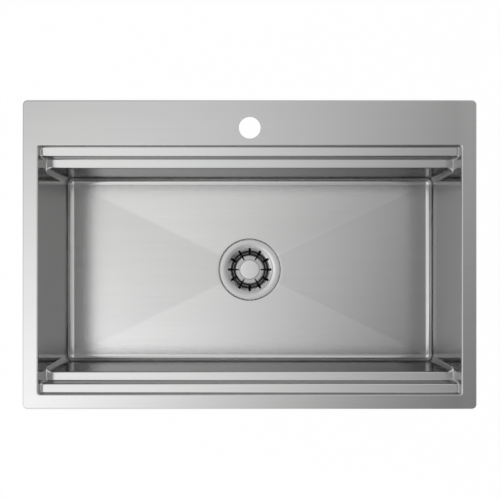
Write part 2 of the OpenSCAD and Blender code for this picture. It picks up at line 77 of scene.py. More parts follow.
round_steps = 8
near_end = 0.001
patch_stations = np.linspace(-patch_half, patch_half, patch_cells + 1)
x_stations = np.concatenate([np.linspace(-0.325, -0.05, 12), patch_stations, np.linspace(0.05, 0.325, 12)])
y_stations = np.linspace(-0.152, 0.152, 13)


def outline(half_x, half_y, radius, middle_y=0.0):
    """Plan line of a rectangle with quarter-round corners, clockwise seen from above, with its first
    point repeated at the end: straight runs at x = +-half_x and y = middle_y +- half_y, and arcs centre +
    radius (cos a, sin a). A point stands near_end from each corner. The sizes are arrays with one value a
    row, and the line comes back as rows x points x 2."""
    half_x, half_y, radius = (np.reshape(size, (-1, 1)) for size in (half_x, half_y, radius))
    end_x, end_y = half_x - radius, half_y - radius
    run_x = np.hstack([near_end - end_x, end_x * 0 + x_stations, end_x - near_end])
    run_y = np.hstack([middle_y + near_end - end_y, end_y * 0 + y_stations, middle_y + end_y - near_end])
    turn = np.linspace(0, np.pi / 2, round_steps + 1)
    long, short = radius * np.cos(turn), radius * np.sin(turn)
    low, high = middle_y - end_y, middle_y + end_y
    x = np.hstack([
        run_y * 0 + half_x, end_x + long, run_x[:, ::-1], -end_x - short,
        run_y * 0 - half_x, -end_x - long, run_x, end_x + short,
    ])
    y = np.hstack([
        run_y[:, ::-1], low - short, run_x * 0 + middle_y - half_y, low - long,
        run_y, high + short, run_x * 0 + middle_y + half_y, high + long,
    ])
    line = np.dstack([x, y])
    return np.concatenate([line, line[:, :1]], axis=1)


def carried(section, half_x, half_y, radius, middle_y=0.0):
    """Section of (distance outwards, height) points carried round a plan outline: rows x columns x 3."""
    offset, height = section.T
    plan = outline(half_x + offset, half_y + offset, radius + offset, middle_y)
    return np.dstack([plan, plan[:, :, 0] * 0 + height[:, None]])


def folded(path, steps=6, margin=0.0003):
    """Section of the sheet folded at right angles. The face follows the path and the back lies a sheet to
    its left. Each corner is an arc about one centre, of bend_r on its inner side, with one more point
    close to each end. Returns the points of the face and as many of the back."""
    path = np.array(path)
    step = np.diff(path, axis=0)
    ahead = step / np.linalg.norm(step, axis=1, keepdims=True)
    left = np.stack([-ahead[:, 1], ahead[:, 0]], axis=1)
    face, back = [path[:1]], [path[:1] + sheet_t * left[:1]]
    turn = np.linspace(0, np.pi / 2, steps + 1)[:, None]
    for before, after, side_way, corner in zip(ahead, ahead[1:], left, path[1:]):
        side = np.sign(side_way @ after)
        face_r = bend_r + sheet_t * (side > 0)
        centre = corner + face_r * (side * side_way - before)
        spoke = np.sin(turn) * before - side * np.cos(turn) * side_way
        for points, radius in ((face, face_r), (back, face_r - side * sheet_t)):
            arc = centre + radius * spoke
            points += [arc[:1] - margin * before, arc, arc[-1:] + margin * after]
    face.append(path[-1:])
    back.append(path[-1:] + sheet_t * left[-1:])
    return np.concatenate(face), np.concatenate(back)


def quads(grid, keep=None):
    """The four corners of each cell of a grid of points, in the order that faces along row step x column
    step. Cells where keep is False are left out."""
    corners = np.stack([grid[:-1, :-1], grid[1:, :-1], grid[1:, 1:], grid[:-1, 1:]], axis=2)
    return corners.reshape(-1, 4, 3) if keep is None else corners[keep]


def sheet(face, back, kept=None):
    """Quads of a closed sheet from rows for its face and as many for its back: first those of the face,
    then those of the back with both edges. kept, where given, says from the middles of the cells which
    ones stay."""
    loop = np.concatenate([face, back[::-1], face[:1]])
    both = []
    for rows in (loop[:len(face)], loop[len(face) - 1:]):
        middle = (rows[:-1, :-1] + rows[1:, 1:]) / 2
        both.append(quads(rows, kept(middle) if kept else None))
    return both


weld_digits = 6
weld_shift = 2.3e-7  # keeps sizes that end in half a micron from rounding two ways


def solid(name, coats, sharp=38.0):
    """One closed mesh from coats, a list of (material, arrays of quads n x 4 x 3). Corners within a
    micron are welded, a quad with two equal corners becomes a triangle, and edges that turn by more than
    sharp degrees stay crisp."""
    arrays = [(index, array) for index, (look, parts) in enumerate(coats) for array in parts]
    coat = np.concatenate([np.full(len(array), index) for index, array in arrays])
    corners = np.concatenate([array for index, array in arrays]).reshape(-1, 3)
    places = np.round(corners + weld_shift, weld_digits) + 0.0
    _, first, corner = np.unique(places, axis=0, return_index=True, return_inverse=True)
    corner = corner.reshape(-1, 4)
    twin = corner == np.roll(corner, -1, axis=1)
    whole, pinched = ~twin.any(axis=1), twin.sum(axis=1) == 1
    kept = (twin[pinched].argmax(axis=1)[:, None] + np.array([1, 2, 3])) % 4
    faces = corner[whole].tolist() + np.take_along_axis(corner[pinched], kept, axis=1).tolist()
    mesh = bpy.data.meshes.new(name)
    mesh.from_pydata(corners[first], [], faces)
    mesh.shade_smooth()
    mesh.set_sharp_from_angle(angle=np.radians(sharp))
    for look, parts in coats:
        mesh.materials.append(look)
    mesh.polygons.foreach_set("material_index", np.concatenate([coat[whole], coat[pinched]]))
    piece = bpy.data.objects.new(name, mesh)
    bpy.context.scene.collection.objects.link(piece)
    return piece


class Wire:
    """A socket in a node tree that takes part in sums: each operator adds a Math node."""

    def __init__(self, tree, socket):
        self.tree = tree
        self.socket = socket

    def node(self, kind, settings, sockets, result=0):
        """Adds a node of a type, makes its settings, then fills its sockets with values or with links,
        and gives one of its results."""
        made = self.tree.nodes.new(kind)
        for key, value in settings.items():
            setattr(made, key, value)
        for key, value in sockets.items():
            if isinstance(value, Wire):
                self.tree.links.new(value.socket, made.inputs[key])
            else:
                made.inputs[key].default_value = value
        return Wire(self.tree, made.outputs[result] if made.outputs else None)

    def math(self, operation, *values):
        """Adds a Math node for an operation on values."""
        return self.node("ShaderNodeMath", {"operation": operation}, dict(enumerate(values)))

    def __add__(self, other):
        return self.math("ADD", self, other)

    def __sub__(self, other):
        return self.math("SUBTRACT", self, other)

    def __rsub__(self, other):
        return self.math("SUBTRACT", other, self)

    def __mul__(self, other):
        return self.math("MULTIPLY", self, other)

    def __truediv__(self, other):
        return self.math("DIVIDE", self, other)

    def __abs__(self):
        return self.math("ABSOLUTE", self)

    __radd__ = __add__
    __rmul__ = __mul__


def split(place):
    """The three coordinates of a place."""
    return [place.node("ShaderNodeSeparateXYZ", {}, {0: place}, result=axis) for axis in range(3)]


def rising(value, low, high):
    """Smooth step of a value, t squared times (3 - 2 t), where t grows from 0 at low to 1 at high."""
    ends = {"Value": value, "From Min": low, "From Max": high}
    return value.node("ShaderNodeMapRange", {"interpolation_type": "SMOOTHSTEP"}, ends)


def noise(place, scale, detail=2.0):
    """Noise from 0 to 1 over a place stretched by a scale for each axis, in features per metre."""
    stretched = place.node("ShaderNodeMapping", {}, {"Vector": place, "Scale": scale})
    return place.node("ShaderNodeTexNoise", {}, {"Vector": stretched, "Scale": 1.0, "Detail": detail})


def coloured(tints, share, strength):
    """Colour between two tints by a share from 0 to 1, times a strength."""
    between = {0: share, 6: (*tints[0], 1.0), 7: (*tints[1], 1.0)}
    mixed = share.node("ShaderNodeMix", {"data_type": "RGBA"}, between, result=2)
    return share.node("ShaderNodeVectorMath", {"operation": "SCALE"}, {0: mixed, "Scale": strength})


def worn_edges(place):
    """From 0 on flat faces to 1 on edges that stand proud."""
    return rising(place.node("ShaderNodeNewGeometry", {}, {}, result="Pointiness"), 0.52, 0.60)


level_range = 0.45, 0.95  # of upward, from the look of upright faces to that of level ones


def upward(place):
    """How far a face looks straight up or down: 0 where it stands upright, 1 where it lies level."""
    facing = place.node("ShaderNodeTexCoord", {}, {}, result="Normal")
    return abs(split(facing)[2])


def opened(owner, kind, result):
    """Empties a material's or a world's nodes, adds one of a type and gives one of its results."""
    owner.use_nodes = True
    owner.node_tree.nodes.clear()
    return Wire(owner.node_tree, owner.node_tree.nodes.new(kind).outputs[result])


def finish(name, look):
    """Material whose look is a function of the place on the piece. It returns the shader's sockets by
    name, and under Height the relief in metres."""
    made = bpy.data.materials.new(name)
    place = opened(made, "ShaderNodeTexCoord", "Object")
    sockets = look(place)
    relief = {"Height": sockets.pop("Height"), "Strength": 1.0, "Distance": 1.0, "Filter Width": 0.01}
    sockets["Normal"] = place.node("ShaderNodeBump", {}, relief)
    shader = place.node("ShaderNodeBsdfPrincipled", {}, sockets)
    place.node("ShaderNodeOutputMaterial", {}, {"Surface": shader})
    return made


steel_tints = (0.978, 0.99, 1.0), (1.0, 0.99, 0.975)


def brushed(name, grain, painted_light_tones, roughness, groove, glance=1.0, painted_light_by_place=None):
    """Satin sheet drawn along its grain. tones and roughness each give a value for level faces and one
    for upright ones, and the tone between them is painted light and shade by facing. Fine grooves show in
    relief, tone and gloss, broader streaks and slow changes of tone lie under them, and proud edges are
    rubbed a little brighter. glance dims what shows along the surface, and painted_light_by_place paints
    light and shade by the place."""

    def drawn(along, across):
        """Features per metre of a noise along the grain and across it."""
        return [along if axis == grain else across for axis in "XYZ"]

    def look(place):
        """Tone and gloss go from the upright value to the level one, the tone as painted light and shade,
        and each noise changes them a little."""
        flat = upward(place)
        level = rising(flat, *level_range)
        lines = noise(place, drawn(40.0, 9000.0)) - 0.5
        streaks = noise(place, drawn(4.0, 420.0)) - 0.5
        slow = noise(place, drawn(1.5, 40.0)) - 0.5
        worn = worn_edges(place)
        # Painted light and shade: level faces get one tone and upright faces another.
        tone = painted_light_tones[1] + (painted_light_tones[0] - painted_light_tones[1]) * level
        tone = tone * (1.0 + 0.10 * lines + 0.05 * streaks + 0.04 * slow + 0.08 * worn)
        # Light and shade painted by the place.
        if painted_light_by_place:
            tone = painted_light_by_place(place, tone)
        gloss = roughness[1] + (roughness[0] - roughness[1]) * level
        return {
            "Base Color": coloured(steel_tints, noise(place, [3.0, 3.0, 3.0]), tone),
            "Metallic": 1.0,
            "Specular Tint": (glance, glance, glance, 1.0),
            "Roughness": gloss + 0.06 * lines + 0.04 * streaks - 0.02 * worn,
            "Height": groove * (0.15 + 0.85 * rising(flat, 0.95, 0.999)) * lines,
        }

    return finish(name, look)


# Places of painted light on the rim's right arm and painted shade on the bend into the bowl beside it.
arm_start = 0.33, 0.36
fold_start, fold_stop, fold_reach = (0.338, 0.340), (0.344, 0.346), (0.190, 0.198)


def deck_painted_light(place, tone):
    """Painted light makes the right arm of the rim a little brighter, and painted shade makes the bend
    down into the bowl beside it duller.
    """
    x, y = split(place)[:2]
    # Painted shade on the bend into the bowl, painted light on the right arm.
    fold_shade = rising(x, *fold_start) * (1.0 - rising(x, *fold_stop)) * (1.0 - rising(abs(y), *fold_reach))
    return tone * (1.0 + 0.12 * rising(x, *arm_start) - 0.13 * fold_shade)


# The deck's tone is painted lighter on level faces than on its upright lips, with light and shade painted
# by place.
deck_steel = brushed("brushed_deck", "X", (0.665, 0.52), (0.12, 0.24), 0.000006, 0.65, deck_painted_light)
mill_steel = brushed("mill_sheet", "X", (0.55, 0.52), (0.36, 0.36), 0.000002)

fold_run = 0.0035
rim_face, rim_back = folded([(0, 0), (0, deck_high[2]), (-fold_run, deck_high[2])])
lip_face, lip_back = folded([(fold_run, deck_high[2]), (0, deck_high[2]), (0, deck_low[2])])
rim_rows = [carried(section, rim_x, rim_y, rim_r, rim_middle) for section in (rim_face, rim_back)]
lip_rows = [carried(section, open_x, open_y, opening_r) for section in (lip_face, lip_back)]
deck_start = rim_middle + rim_y + rim_face[-1, 0]
deck_run = deck_start - (open_y + lip_face[0, 0])
tap_shares = (deck_start - tap_y - patch_stations[::-1]) / deck_run
flat_shares = np.concatenate([[0.01, 0.12], tap_shares, [0.99]])[:, None, None]
deck_sides = [
    np.concatenate([rim, rim[-1:] + flat_shares * (lip[:1] - rim[-1:]), lip])
    for rim, lip in zip(rim_rows, lip_rows)
]


def off_patch(middle):
    """True for cells whose middle lies more than patch_half from the tap's axis, across or along."""
    return (abs(middle[:, :, 0]) > patch_half) | (abs(middle[:, :, 1] - tap_y) > patch_half)


deck_face, deck_back = sheet(*deck_sides, off_patch)

side_way = np.linspace(1, -1, patch_cells + 1)[:-1]
edge = side_way * 0 + 1
square = patch_half * np.stack([
    np.concatenate([edge, side_way, -edge, -side_way]), np.concatenate([side_way, -edge, -side_way, edge])
], axis=1)
angle = np.pi / 4 - np.linspace(0, 2 * np.pi, len(square), endpoint=False)
circle = np.stack([np.cos(angle), np.sin(angle)], axis=1)
roll = np.linspace(0, np.pi / 2, 4)
roll_r = tap_r + tap_edge_r * (1 - np.sin(roll))
roll_z = deck_high[2] - tap_edge_r * (1 - np.cos(roll))
ring_r = tap_r + 2 * tap_edge_r
hole_r = np.concatenate([[ring_r], roll_r, roll_r[::-1], [ring_r]])
deck_under = deck_high[2] - sheet_t
hole_z = np.concatenate([[deck_high[2]], roll_z, deck_under + deck_high[2] - roll_z[::-1], [deck_under]])
shares = np.array([0.0, 0.3, 0.6, 0.85])[:, None, None]
hole_rings = hole_r[:, None, None] * circle
blend = square + shares * (hole_rings[0] - square)
top_z, under_z = (np.full(len(shares), height) for height in (deck_high[2], deck_under))
patch_z = np.concatenate([top_z, hole_z, under_z])[:, None]
patch_plan = np.concatenate([blend, hole_rings, blend[::-1]])
patch = np.dstack([patch_plan, patch_z + patch_plan[:, :, 0] * 0]) + [0, tap_y, 0]
patch = np.concatenate([patch, patch[:, :1]], axis=1)
turned_under = len(blend) + len(hole_rings) - 2
patch_face, patch_back = quads(patch[:turned_under + 1]), quads(patch[turned_under:])
deck_coats = [(deck_steel, [deck_face, patch_face]), (mill_steel, [deck_back, patch_back])]
deck = solid("rim_and_deck", deck_coats)
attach(deck, "sink")
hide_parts("deck_plate")

# Front and rear panels of the bowl. Each is one sheet folded into two ledges that carry trays and boards,
# and rounded into the side panels at its ends. Welded to the deck, the side panels and the floor.
upper_z, lower_z = -0.014, -0.050
ledge_w = 0.015
tier_y, bowl_y = open_y - ledge_w, open_y - 2 * ledge_w
wall_end = panel_low[2]
bowl_r = 0.010
ledge_path = [
    (open_y, deck_low[2]), (open_y, upper_z), (tier_y, upper_z),
    (tier_y, lower_z), (bowl_y, lower_z), (bowl_y, wall_end),
]
ledge_fall = 0.001


def drained(section):
    """Lets each ledge fall evenly towards the bowl, by ledge_fall across its width, and the folds below
    it with it."""
    y, z = section.T
    reach = np.where(z > (upper_z + lower_z) / 2, open_y - y, tier_y - y)
    fall = ledge_fall * np.clip(reach / ledge_w, 0, 1) * (z > 2 * lower_z)
    return np.stack([y, z - fall], axis=1)


ledge_face, ledge_back = (drained(section) for section in folded(ledge_path))


def corner_radius(y):
    """Radius of the upright corner at a distance from the bowl's middle: opening_r down to the tier, and
    from there it grows evenly to bowl_r across the lower ledge."""
    return opening_r + (bowl_r - opening_r) * np.clip((tier_y - y) / ledge_w, 0, 1)


def across(y, z, radius, side_x):
    """Rows at (y, z) that run from side panel to side panel, with a quarter round of their own radius at
    each end."""
    y, z, radius, side_x = (size[:, None] for size in (y, z, radius, side_x))
    turn = np.linspace(0, np.pi / 2, round_steps + 1)
    end = side_x - radius
    run = np.hstack([near_end - end, end * 0 + x_stations, end - near_end])
    x = np.hstack([-end - radius * np.cos(turn), run, end + radius * np.sin(turn)])
    y = np.hstack([y - radius + radius * np.sin(turn), run * 0 + y, y - radius + radius * np.cos(turn)])
    return np.dstack([x, y, x * 0 + z])


ledge_r = corner_radius(ledge_face[:, 0])
proud = ledge_back[:, 0] - ledge_face[:, 0]
face = across(ledge_face[:, 0], ledge_face[:, 1], ledge_r, proud * 0 + open_x)
back = across(ledge_back[:, 0], ledge_back[:, 1], ledge_r + proud, proud + open_x)
ends = [np.stack([back[:, 0], face[:, 0]], axis=1), np.stack([face[:, -1], back[:, -1]], axis=1)]
# Heights of the painted shade on the walls below the ledges and the painted light on the strip between
# them.
wall_top, strip_foot, strip_top = (-0.060, -0.052), (-0.049, -0.048), (-0.018, -0.017)


def ledge_painted_light(place, tone):
    """Painted light and shade: the front ledges are a little duller at their left end and brighter at
    their right end, both walls below the ledges are painted duller at the right, and the strip between the
    ledges is painted brighter."""
    x, y, z = split(place)
    # Painted shade on the walls towards the right, painted light on the strip and the front ledges' right
    # end.
    ledges = rising(z, *wall_top)
    strip = rising(z, *strip_foot) * (1.0 - rising(z, *strip_top))
    rear = rising(y, -0.05, 0.05)
    walls = (0.33 + 0.05 * rear) * rising(x, -0.05, 0.3) * (1.0 - ledges)
    painted_light_drift = 0.45 * x * ledges * (1.0 - rear) - walls
    return tone * (1.0 + painted_light_drift + 0.3 * strip)


# The ledges are painted lighter than the upright walls below them, with light and shade painted by place.
ledge_steel = brushed("brushed_ledges", "X", (0.73, 0.52), (0.11, 0.15), 0.000006, 0.49, ledge_painted_light)
for name, way in (("rear_wall", 1), ("front_wall", -1)):
    turned_about = np.array([way, way, 1])
    face_quads, back_quads = sheet(face * turned_about, back * turned_about)
    end_quads = [quads(grid * turned_about) for grid in ends]
    panel = solid("ledged_" + name, [(ledge_steel, [face_quads]), (mill_steel, [back_quads, *end_quads])])
    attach(panel, "sink")
    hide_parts(name)

# Left and right panels of the bowl. Flat sheet, stepped along its two edges where the ledges meet it, and
# brushed from front to rear. Welded into the corners of the ledged panels and to the floor's rolled edge.
side_steel = brushed("brushed_sides", "Y", (0.52, 0.52), (0.12, 0.12), 0.000005, 0.52)
stepped_y = ledge_face[:, 0] - ledge_r
stepped = np.concatenate([
    np.stack([stepped_y, ledge_face[:, 1]], axis=1), np.stack([-stepped_y, ledge_face[:, 1]], axis=1)[::-1]
])
for name, side in (("right_wall", 1), ("left_wall", -1)):
    inner, outer = (
        np.column_stack([stepped[:, 0] * 0 + side * x, side * stepped[:, 0], stepped[:, 1]])
        for x in (open_x, open_x + sheet_t)
    )
    count = len(stepped)
    ring = np.arange(count)
    after = np.roll(ring, -1)
    faces = np.stack([ring, ring + count, after + count, after], axis=1).tolist()
    faces += [ring.tolist(), (ring[::-1] + count).tolist()]
    mesh = bpy.data.meshes.new("side_" + name)
    mesh.from_pydata(np.concatenate([inner, outer]), [], faces)
    for look in (side_steel, mill_steel):
        mesh.materials.append(look)
    mesh.polygons.foreach_set("material_index", [1] * count + [0, 1])
    panel = bpy.data.objects.new("side_" + name, mesh)
    bpy.context.scene.collection.objects.link(panel)
    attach(panel, "sink")
    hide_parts(name)

# Floor of the bowl, brushed from left to right. Pressed sheet with an edge rolled up to the walls, four
# shallow facets that fall to the waste and meet in soft creases, and a recess for the waste's flange.
floor_fall = 0.007
floor_edge_z = wall_end - bowl_r
apex_z = floor_edge_z - floor_fall
seat_drop = 0.002
seat_z = apex_z - seat_drop
recess_r = 0.0585
shoulder_r = 0.0014
seat_round = 0.001
waste_hole_r = 0.045
seat_margin = 0.0005
crease = 0.00025
crown, crown_start = 1.3, 0.2
centre_x, centre_y = open_x - bowl_r, bowl_y - bowl_r


def floor_height(x, y, soft):
    """Height of the floor: the higher of two valleys, along X and along Y, with the crease between them
    rounded by half (a + b + root((a - b) squared + soft squared)). Each valley rises evenly to floor_fall
    at the walls, plus floor_fall times crown (share past crown_start) squared (1 - share)."""
    a, b = (
        floor_fall * (share + crown * np.maximum(share - crown_start, 0) ** 2 * (1 - share))
        for share in (abs(x) / centre_x, abs(y) / centre_y)
    )
    return apex_z + (a + b + np.sqrt((a - b) ** 2 + soft ** 2)) / 2


def rolled_edge(radius):
    """Rows of the rolled edge: a quarter round of a radius about the line at wall_end and centre_x,
    centre_y."""
    turn = np.linspace(0, np.pi / 2, 13)
    section = np.stack([radius * np.cos(turn), wall_end - radius * np.sin(turn)], axis=1)
    return carried(section, centre_x, centre_y, 0.0)


def facets(edge_row, drop, shares):
    """Rows from the rolled edge in to the recess's shoulder, on straight lines to the axis in plan, at
    floor_height less a drop."""
    edge_xy = edge_row[None, :, :2]
    ring_xy = edge_xy / np.linalg.norm(edge_xy, axis=2, keepdims=True) * (recess_r + shoulder_r)
    shares = shares[:, None, None]
    plan = edge_xy + shares * (ring_xy - edge_xy)
    soft = crease * np.clip(shares[:, :, 0] / 0.1, 0, 1)
    height = floor_height(plan[:, :, 0], plan[:, :, 1], soft) - drop
    return np.dstack([plan, height])


in_shares = np.concatenate([[0.004, 0.02, 0.05], np.linspace(0.1, 0.95, 18), [0.985, 1.0]])
turn = np.linspace(0, np.pi / 2, 7)
floor_sides = []
for radius, drop, over, under in (
    (bowl_r, 0.0, shoulder_r, seat_round),
    (bowl_r + sheet_t, sheet_t, shoulder_r - sheet_t, seat_round + sheet_t),
):
    edge_rows = rolled_edge(radius)
    slopes = facets(rolled_edge(bowl_r)[-1], drop, in_shares)
    ring = slopes[-1]
    spokes = ring[:, :2] / np.linalg.norm(ring[:, :2], axis=1, keepdims=True)
    shoulder = recess_r + shoulder_r - over * np.sin(turn)
    shoulder_drop = over * (1 - np.cos(turn))
    foot = recess_r - seat_round + under * np.cos(turn)
    foot_z = seat_z + seat_round - under * np.sin(turn)
    seat = np.array([recess_r - seat_round - seat_margin, waste_hole_r + 2 * seat_margin, waste_hole_r])
    shoulder_rows = np.dstack([
        shoulder[:, None, None] * spokes, ring[None, :, 2] - shoulder_drop[:, None]
    ])
    seat_rows = np.concatenate([foot, seat])[:, None, None] * spokes
    seat_heights = np.concatenate([foot_z, seat * 0 + foot_z[-1]])[:, None] + ring[None, :, 2] * 0
    seat_rows = np.dstack([seat_rows, seat_heights])
    floor_sides.append(np.concatenate([edge_rows, slopes, shoulder_rows[1:], seat_rows]))


# Places of the painted highlight on the right rolled edge and the painted shade by the left wall.
right_roll, left_end = (0.327, 0.333), (-0.315, -0.255)


def facet_painted_light(place, tone):
    """Painted shade: the facets at the left and right are darker, the right one more so, and so is the
    floor close to the left wall, where the wall's reflection is painted. A painted highlight makes the
    rolled edge at the right brighter."""
    x, y = split(place)[:2]
    # Painted shade on the side facets and by the left wall, painted highlight on the right rolled edge.
    ends = rising(abs(x) / centre_x - abs(y) / centre_y, -0.02, 0.02)
    edges = 0.06 * rising(x, *right_roll) - 0.09 * (1.0 - rising(x, *left_end))
    return tone * (1.0 - ends * (0.045 + 0.06 * rising(x, -0.05, 0.05)) + edges)


# The floor's upright rolled edge is painted brighter than its level facets, as a highlight, with light and
# shade painted by place.
floor_steel = brushed("brushed_floor", "X", (0.69, 0.94), (0.11, 0.42), 0.000016, 0.65, facet_painted_light)
floor_face, floor_back = sheet(*floor_sides)
floor = solid("pressed_floor", [(floor_steel, [floor_face]), (mill_steel, [floor_back])])
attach(floor, "sink")
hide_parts("floor_pan")

# Fittings under the rim: a plate that stiffens the deck round the tap, a foam strip that seals the rim to
# the worktop, and eight clips. The plate is glued on, the strip sticks to the rim, and the claws hang on
# weld studs.
rim_inset, stud_r, stud_end, thread_end = 0.017, 0.0025, -0.0462, -0.0120
clip_x, clip_y = 0.230, 0.095
clips = [(x, rim_middle + way * (rim_y - rim_inset)) for x in (-clip_x, clip_x) for way in (-1, 1)]
clips += [(way * (rim_x - rim_inset), y) for way in (-1, 1) for y in (-clip_y, clip_y)]


def eased(corners, steps=4):
    """Closed path through corners of (x, y, reach) in millimetres. Each corner is rounded by the parabola
    that leaves its sides a reach away from it: corner + reach ((1 - t)^2 behind + t^2 ahead). A point
    that falls on the one before it is left out."""
    corners = 0.001 * np.array(corners, float)
    point, reach = corners[:, None, :2], corners[:, None, 2:]
    ahead = np.roll(point, -1, axis=0) - point
    ahead = ahead / np.linalg.norm(ahead, axis=2, keepdims=True)
    t = np.linspace(0, 1, steps + 1)[None, :, None]
    path = (point + reach * (t ** 2 * ahead - (1 - t) ** 2 * np.roll(ahead, 1, axis=0))).reshape(-1, 2)
    return path[np.linalg.norm(path - np.roll(path, 1, axis=0), axis=1) > 1e-7]


def turned(profile, count=96, swell=None):
    """Closed profile of (radius, height), clockwise, turned about the Z axis: x and y are the radius
    times the cosine and the sine of the angle. swell gives what is added to the radius at a radius,
    height and angle."""
    radius, height = np.concatenate([profile, profile[:1]]).T[:, :, None]
    angle = np.linspace(0, 2 * np.pi, count + 1)[None]
    radius, height = radius + 0 * angle, height + 0 * angle
    if swell:
        radius = radius + swell(radius, height, angle)
    return np.dstack([radius * np.cos(angle), radius * np.sin(angle), height])


def thread(crest, low, high, pitch, depth):
    """Thread cut in from a crest radius between two heights: minus depth times a flattened triangle wave
    of height / pitch - angle / whole turn, fading out over one pitch at each end."""

    def cut(radius, height, angle):
        """Minus depth times wave times fading, and nothing where the blank is thinner than the crest."""
        wave = np.clip(3 * abs((height / pitch - angle / (2 * np.pi)) % 1 - 0.5) - 0.25, 0, 1)
        run = np.clip(np.minimum(height - low, high - height) / pitch, 0, 1)
        return -depth * wave * run * (radius > crest - 1e-5)

    return cut


def between(radius, high, low, count):
    """Profile points in even steps down a cylinder, for a thread, in millimetres."""
    return [(radius, height, 0) for height in np.linspace(high, low, count)]


def moulded(name, tints, roughness, relief, grain, wear=0.25):
    """Rubber, foam or plastic: a fine skin in relief and tone, slow clouds of tone, and paler edges."""

    def look(place):
        """Tone by the clouds, times one plus shares of skin and wear, which change the gloss too."""
        skin = noise(place, [grain, grain, grain], 3.0) - 0.5
        clouds = noise(place, [22.0, 22.0, 22.0])
        worn = worn_edges(place)
        return {
            "Base Color": coloured(tints, clouds, 1.0 + 0.35 * skin + wear * worn),
            "Roughness": roughness + 0.16 * skin - 0.06 * worn,
            "Height": relief * skin,
        }

    return finish(name, look)


def dress(look, *names):
    """Gives a look to pieces that keep their CAD shape."""
    for name in names:
        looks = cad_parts[name].data.materials
        looks.clear()
        looks.append(look)


def plated(place):
    """Bright zinc: small spangled patches of tone and gloss, with a faint warm and cool cast."""
    spangle = noise(place, [700.0, 700.0, 700.0], 3.0) - 0.5
    cast = noise(place, [60.0, 60.0, 60.0])
    worn = worn_edges(place)
    tone = 1.0 + 0.2 * spangle + 0.15 * worn
    return {
        "Base Color": coloured(((0.60, 0.64, 0.70), (0.68, 0.66, 0.58)), cast, tone),
        "Metallic": 1.0,
        "Roughness": 0.32 + 0.2 * spangle - 0.05 * worn,
        "Height": 0.00001 * spangle,
    }


plain_steel = brushed("mill_fittings", "Y", (0.58, 0.55), (0.30, 0.30), 0.000003)
zinc = finish("zinc_plate", plated)
foam = moulded("foam_strip", ((0.045, 0.045, 0.048), (0.07, 0.07, 0.073)), 0.9, 0.00012, 1500.0, 0.5)
dress(plain_steel, "tap_hole_plate")
dress(foam, "rim_seal")
dress(zinc, "clip_claws", "clip_washers")

stud_line = eased([
    (0, 1.8, 0), (3.1, 1.8, 0), (3.1, 1.0, 0.3), *between(2.5, 1.0, -12.0, 3),
    *between(2.5, -12.1, -45.6, 205), (2.0, -46.2, 0), (0, -46.2, 0),
])
stud = turned(stud_line, 20, thread(stud_r, stud_end, thread_end, 0.0008, 0.0004))
studs = solid("weld_studs", [(plain_steel, [quads(stud + [x, y, 0]) for x, y in clips])])
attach(studs, "sink")
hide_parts("clip_studs")

nut_corner_r = 0.0046
nut_flat = nut_corner_r * np.cos(np.pi / 6)


def hexagon(radius, height, angle):
    """Cuts a blank to six flats: the radius is at most flat / cos (angle from the middle of a flat)."""
    return np.minimum(radius, nut_flat / np.cos(angle % (np.pi / 3) - np.pi / 6)) - radius


nut_line = eased([
    (2.55, -37, 0.3), (3.9, -37, 0), (4.6, -37.4, 0), (4.6, -40.6, 0), (3.9, -41, 0), (2.55, -41, 0.3)
])
nut = turned(nut_line, 48, hexagon)
nuts = solid("hexagon_nuts", [(zinc, [quads(nut + [x, y, 0]) for x, y in clips])], sharp=25)
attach(nuts, "sink")
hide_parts("clip_nuts")

# Sound pads on the outside of the bowl: dense rubber sheet, die-cut with round corners and stuck to the
# steel. They keep their CAD shape and get the pebbled face of a rolled pad.
pad_rubber = moulded("sound_pad", ((0.13, 0.135, 0.14), (0.18, 0.185, 0.19)), 0.82, 0.0002, 420.0)
dress(pad_rubber, "floor_pad", "front_pad", "rear_pad", "left_pad", "right_pad")

# Waste: a pressed cup with a flange that is dished down to the strainer, on a gasket in the floor's
# recess, and pulled tight from below by a lugged nut over a slip ring and a rubber washer. The outlet is
# threaded for a trap.
throat = [
    (40.7, -232.9), (41.2, -231.5), (42.2, -230.55), (43.6, -229.85), (45.0, -229.38),
    (46.5, -229.02), (48.0, -228.75), (49.5, -228.58), (51.0, -228.5),
]


def smooth(points, steps=6):
    """Curve through points: on each span the cubic through its two ends, whose slope at either end is
    half the step between that end's two neighbours."""
    points = np.array(points, float)
    padded = np.concatenate([2 * points[:1] - points[1:2], points, 2 * points[-1:] - points[-2:-1]])
    a, b, c, d = (padded[k:len(padded) - 3 + k, None] for k in range(4))
    t = np.linspace(0, 1, steps, endpoint=False)[None, :, None]
    spans = b + ((c - a) * t + (2 * a - 5 * b + 4 * c - d) * t ** 2 + (3 * (b - c) + d - a) * t ** 3) / 2
    return np.concatenate([spans.reshape(-1, 2), points[-1:]])


